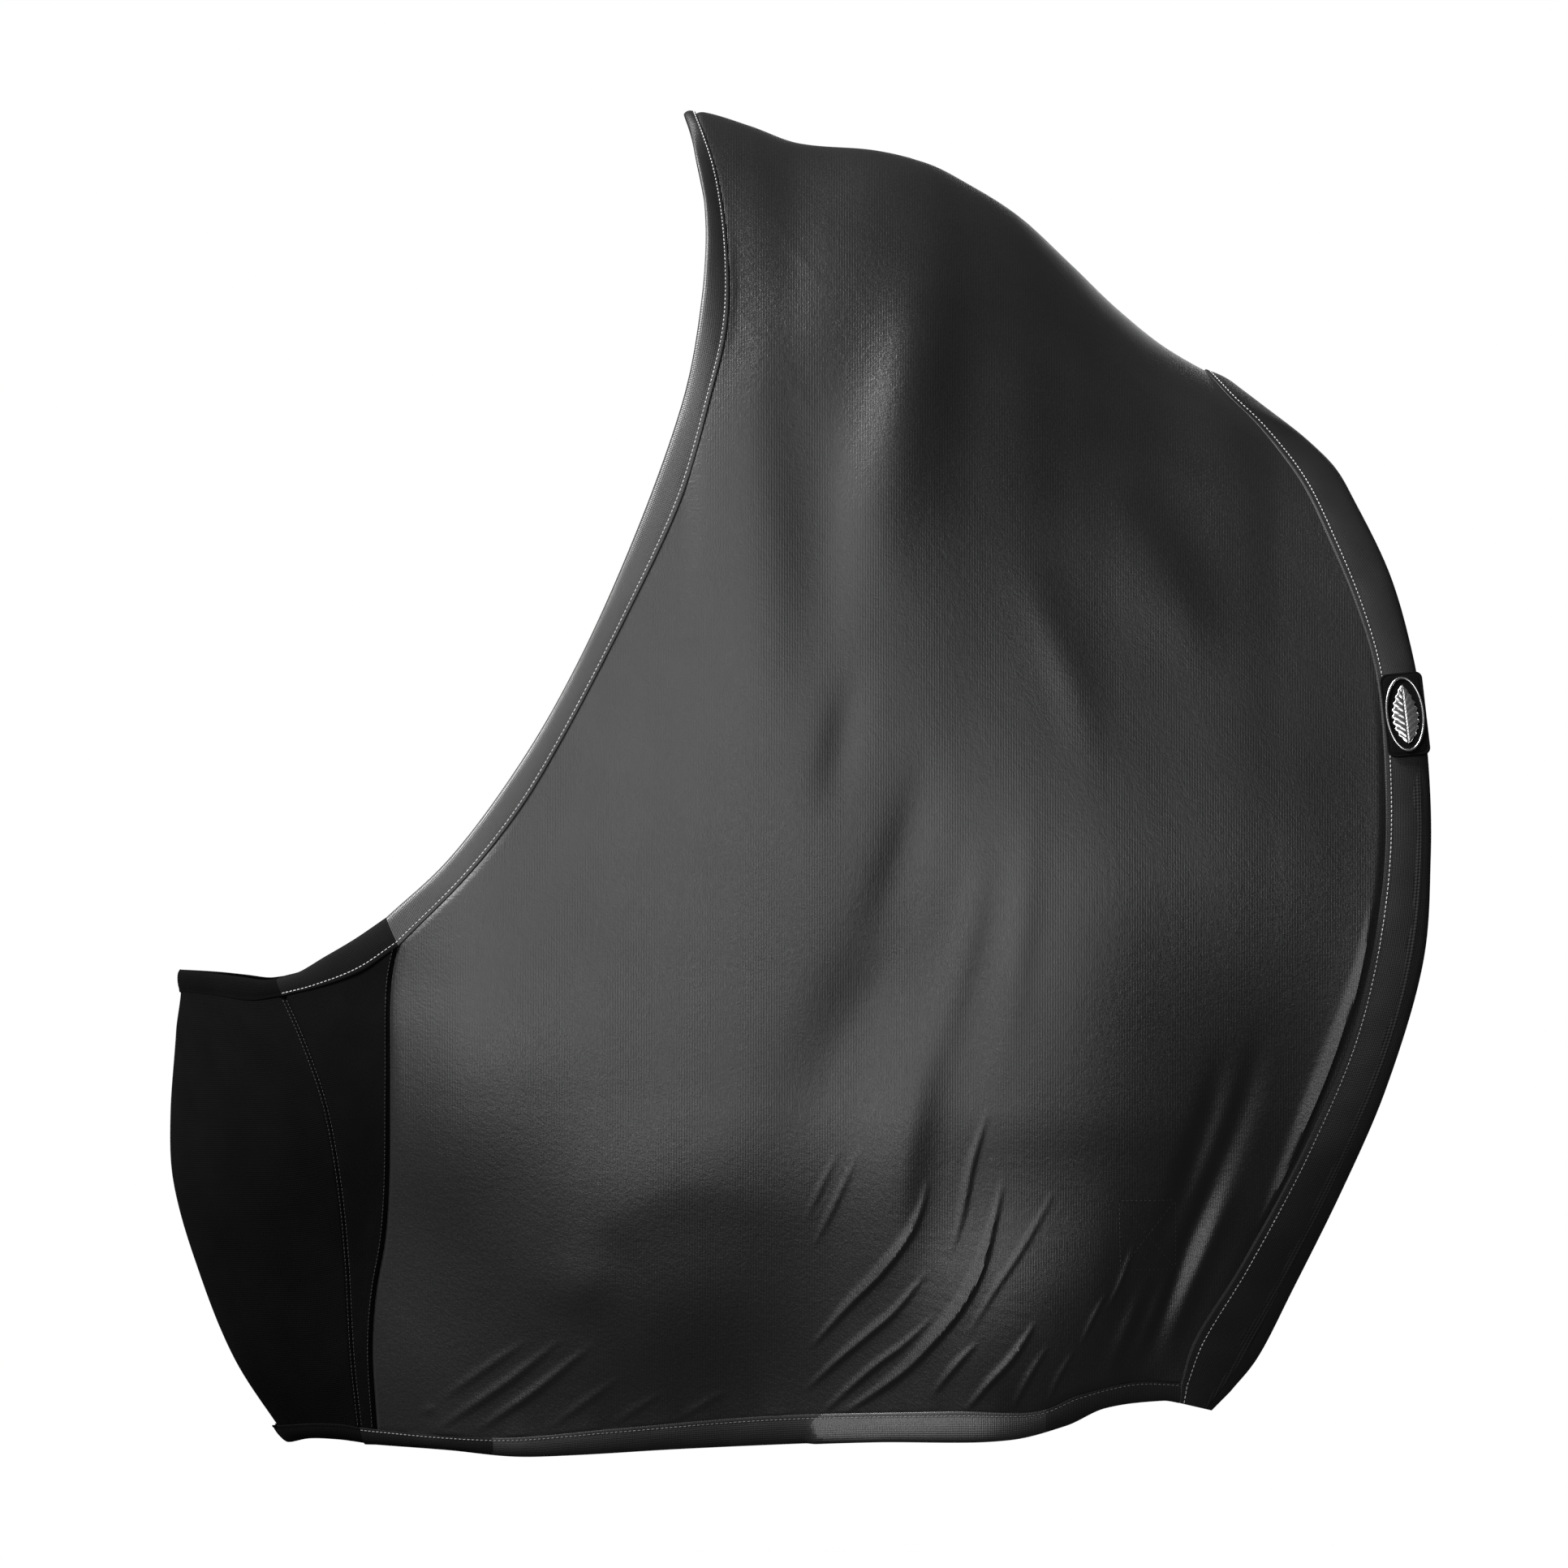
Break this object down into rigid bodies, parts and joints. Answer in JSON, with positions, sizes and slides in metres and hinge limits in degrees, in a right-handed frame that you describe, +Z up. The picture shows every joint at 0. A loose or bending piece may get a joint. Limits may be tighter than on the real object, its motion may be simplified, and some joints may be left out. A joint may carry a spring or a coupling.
{
  "type": "horse shoulder guard",
  "caption": "Stretch satin horse shoulder guard with folded neck band, elastic rear casing, oval badge and a girth strap with snap hook.",
  "frame": {"origin": "on the horse's withers, the highest point that the crest of the guard rests on, in the middle plane", "axes": "+X towards the tail, -Y to the near (left) side that carries the badge, +Z up"},
  "size_m": [0.8802, 0.42, 0.9421],
  "materials": {
    "satin": "glossy stretch satin, fine knit",
    "matte_fabric": "dull black stretch fabric",
    "band": "folded satin band with topstitching",
    "elastic": "woven elastic",
    "webbing": "woven webbing",
    "label": "plain woven label",
    "steel": "nickel plated, polished",
    "badge_metal": "polished metal",
    "plastic": "black moulded plastic"
  },
  "bodies": {
    "garment": {"near_shoulder_panel": "satin", "off_shoulder_panel": "satin", "near_chest_gusset": "matte_fabric", "off_chest_gusset": "matte_fabric", "chest_panel": "matte_fabric", "near_neck_binding": "band", "off_neck_binding": "band", "chest_neck_binding": "band", "near_back_casing": "band", "off_back_casing": "band", "near_back_elastic": "elastic", "off_back_elastic": "elastic", "near_bottom_hem": "band", "off_bottom_hem": "band", "chest_bottom_hem": "band", "crest_seam_tape": "band", "near_girth_patch": "webbing", "off_girth_patch": "webbing", "care_label": "label", "near_girth_tab": "webbing", "swivel_eye": "steel", "girth_strap": "elastic", "badge_patch": "plastic", "badge_rim": "badge_metal", "badge_emblem": "badge_metal"},
    "d_ring": {"d_ring": "steel"},
    "snap": {"snap_body": "steel", "bolt_spring": "steel"},
    "snap_bolt": {"snap_bolt": "steel"},
    "slide": {"adjuster_slide": "plastic"}
  },
  "joints": [
    {"name": "d_ring_swing", "type": "hinge", "parent": "garment", "child": "d_ring", "pos_m": [0.13, -0.17293, -0.76975], "axis": [1, 0, 0], "range_deg": [-4, 4]},
    {"name": "snap_swivel", "type": "hinge", "parent": "garment", "child": "snap", "pos_m": [0.13, -0.09343, -0.779], "axis": [0, 1, 0], "range_deg": [-15, 15]},
    {"name": "bolt_pull", "type": "slide", "parent": "snap", "child": "snap_bolt", "axis": [0, 1, 0], "range_m": [0, 0.007], "stiffness_N_per_m": 150, "springref_m": -0.01, "deforming": ["bolt_spring"]},
    {"name": "slide_adjust", "type": "slide", "parent": "garment", "child": "slide", "axis": [0, 1, 0], "range_m": [-0.028, 0.036]}
  ]
}
